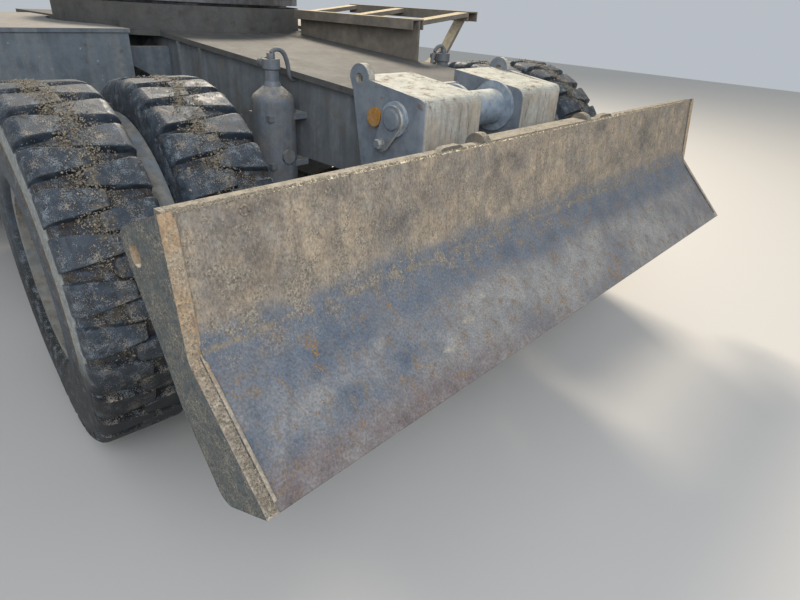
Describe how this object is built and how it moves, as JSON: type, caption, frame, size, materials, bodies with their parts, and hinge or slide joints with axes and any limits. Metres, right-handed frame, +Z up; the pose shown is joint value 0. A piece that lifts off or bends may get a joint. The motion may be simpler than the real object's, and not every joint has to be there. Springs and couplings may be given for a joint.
{
  "type": "wheeled excavator undercarriage with dozer blade",
  "caption": "Wheeled undercarriage of an excavator with twin tyres on a steered and a rigid axle, a slewing ring on its chassis and a lifting dozer blade at its nose.",
  "frame": {"origin": "on the ground, under the middle of the whole part's bounding box", "axes": "+Z up, -Y forward to the dozer blade, +X to the machine's left"},
  "size_m": [2.584, 4.26, 1.335],
  "materials": {
    "frame_paint": "dusty grey paint",
    "carrier_paint": "dusty blue-grey paint",
    "axle_paint": "oily grey paint with dust",
    "machined_steel": "machined, greased",
    "chromed_rod": "polished",
    "rim_paint": "grey paint with dried mud",
    "tyre_rubber": "rubber with dried mud",
    "blade_steel": "worn steel with sandy dust and rust",
    "edge_steel": "worn bright by the ground",
    "step_steel": "worn paint with sand",
    "amber_lens": "moulded lens"
  },
  "bodies": {
    "root": {"chassis_frame": "frame_paint", "deck_plate": "frame_paint", "belly_plate": "frame_paint", "slew_pedestal": "frame_paint", "slew_ring_inner": "machined_steel", "swivel_manifold": "machined_steel", "front_axle": "axle_paint", "axle_cradle": "frame_paint", "lock_cylinders": "axle_paint", "rear_axle": "axle_paint", "travel_gearbox": "axle_paint", "drive_shaft": "axle_paint", "steer_cylinder": "axle_paint", "blade_carrier": "carrier_paint", "carrier_tube": "carrier_paint", "reflectors": "amber_lens", "toolbox_left": "frame_paint", "toolbox_right": "frame_paint", "nose_step": "step_steel"},
    "upper_race": {"slew_ring_outer": "machined_steel"},
    "knuckle_left": {"knuckle_left": "axle_paint"},
    "knuckle_right": {"knuckle_right": "axle_paint"},
    "steering_rod": {"steer_rod": "chromed_rod"},
    "tie_rod_left": {"tie_rod_left": "axle_paint"},
    "tie_rod_right": {"tie_rod_right": "axle_paint"},
    "wheels_front_left": {"hub_front_left": "axle_paint", "rims_front_left": "rim_paint", "tyres_front_left": "tyre_rubber"},
    "wheels_front_right": {"hub_front_right": "axle_paint", "rims_front_right": "rim_paint", "tyres_front_right": "tyre_rubber"},
    "wheels_rear_left": {"hub_rear_left": "axle_paint", "rims_rear_left": "rim_paint", "tyres_rear_left": "tyre_rubber"},
    "wheels_rear_right": {"hub_rear_right": "axle_paint", "rims_rear_right": "rim_paint", "tyres_rear_right": "tyre_rubber"},
    "lift_barrel_left": {"lift_barrel_left": "carrier_paint"},
    "lift_barrel_right": {"lift_barrel_right": "carrier_paint"},
    "lift_rod_left": {"lift_rod_left": "chromed_rod"},
    "lift_rod_right": {"lift_rod_right": "chromed_rod"},
    "blade": {"blade_arms": "carrier_paint", "blade_back": "blade_steel", "mouldboard": "blade_steel", "blade_ends": "blade_steel", "cutting_edge": "edge_steel"}
  },
  "joints": [
    {"name": "slew_turn", "type": "hinge", "parent": "root", "child": "upper_race", "pos_m": [0, 0.375, 0], "axis": [0, 0, 1], "continuous": true},
    {"name": "steer_left", "type": "hinge", "parent": "root", "child": "knuckle_left", "pos_m": [0.72, -1.005, 0.535], "axis": [0, 0, 1], "range_deg": [-22.3, 33.7]},
    {"name": "steer_right", "type": "hinge", "parent": "root", "child": "knuckle_right", "pos_m": [-0.72, -1.005, 0.535], "axis": [0, 0, 1], "range_deg": [-22.4, 33.8]},
    {"name": "steer_rod_slide", "type": "slide", "parent": "root", "child": "steering_rod", "axis": [1, 0, 0], "range_m": [-0.06382, 0.09593]},
    {"name": "tie_rod_left_turn", "type": "hinge", "parent": "steering_rod", "child": "tie_rod_left", "pos_m": [0.45361, -1.1601, 0.535], "axis": [0, 0, 1], "range_deg": [-1.28, 0.88]},
    {"name": "wheels_front_left_roll", "type": "hinge", "parent": "knuckle_left", "child": "wheels_front_left", "pos_m": [0.72, -1.005, 0.535], "axis": [0.9951, -0.0993, 0], "continuous": true},
    {"name": "wheels_rear_left_roll", "type": "hinge", "parent": "root", "child": "wheels_rear_left", "pos_m": [0.955, 1.595, 0.535], "axis": [1, 0, 0], "continuous": true},
    {"name": "tie_rod_right_turn", "type": "hinge", "parent": "steering_rod", "child": "tie_rod_right", "pos_m": [-0.48639, -1.1601, 0.535], "axis": [0, 0, 1], "range_deg": [-3.1, 2.08]},
    {"name": "wheels_front_right_roll", "type": "hinge", "parent": "knuckle_right", "child": "wheels_front_right", "pos_m": [-0.72, -1.005, 0.535], "axis": [0.9951, -0.0993, 0], "continuous": true},
    {"name": "wheels_rear_right_roll", "type": "hinge", "parent": "root", "child": "wheels_rear_right", "pos_m": [-0.955, 1.595, 0.535], "axis": [1, 0, 0], "continuous": true},
    {"name": "blade_lift", "type": "hinge", "parent": "root", "child": "blade", "pos_m": [0, -1.385, 0.36], "axis": [1, 0, 0], "range_deg": [-1.5, 49]},
    {"name": "lift_barrel_left_turn", "type": "hinge", "parent": "root", "child": "lift_barrel_left", "pos_m": [0.247, -1.57, 1.002], "axis": [1, 0, 0], "range_deg": [-0.17, 4.09]},
    {"name": "lift_rod_left_slide", "type": "slide", "parent": "lift_barrel_left", "child": "lift_rod_left", "axis": [0, -0.0703, -0.9975], "range_m": [-0.0067, 0.18709]},
    {"name": "lift_barrel_right_turn", "type": "hinge", "parent": "root", "child": "lift_barrel_right", "pos_m": [-0.247, -1.57, 1.002], "axis": [1, 0, 0], "range_deg": [-0.17, 4.09]},
    {"name": "lift_rod_right_slide", "type": "slide", "parent": "lift_barrel_right", "child": "lift_rod_right", "axis": [0, -0.0703, -0.9975], "range_m": [-0.0067, 0.18709]}
  ],
  "couplings": [
    {"joint": "steer_right", "follows": "steer_left", "ratio": 1},
    {"joint": "steer_rod_slide", "follows": "steer_left", "m_per_rad": 0.1614},
    {"joint": "tie_rod_left_turn", "follows": "steer_left", "ratio": -0.03495},
    {"joint": "tie_rod_right_turn", "follows": "steer_left", "ratio": -0.08896},
    {"joint": "lift_barrel_left_turn", "follows": "blade_lift", "ratio": 0.0825},
    {"joint": "lift_rod_left_slide", "follows": "blade_lift", "m_per_rad": 0.21759},
    {"joint": "lift_barrel_right_turn", "follows": "blade_lift", "ratio": 0.0825},
    {"joint": "lift_rod_right_slide", "follows": "blade_lift", "m_per_rad": 0.21759}
  ]
}
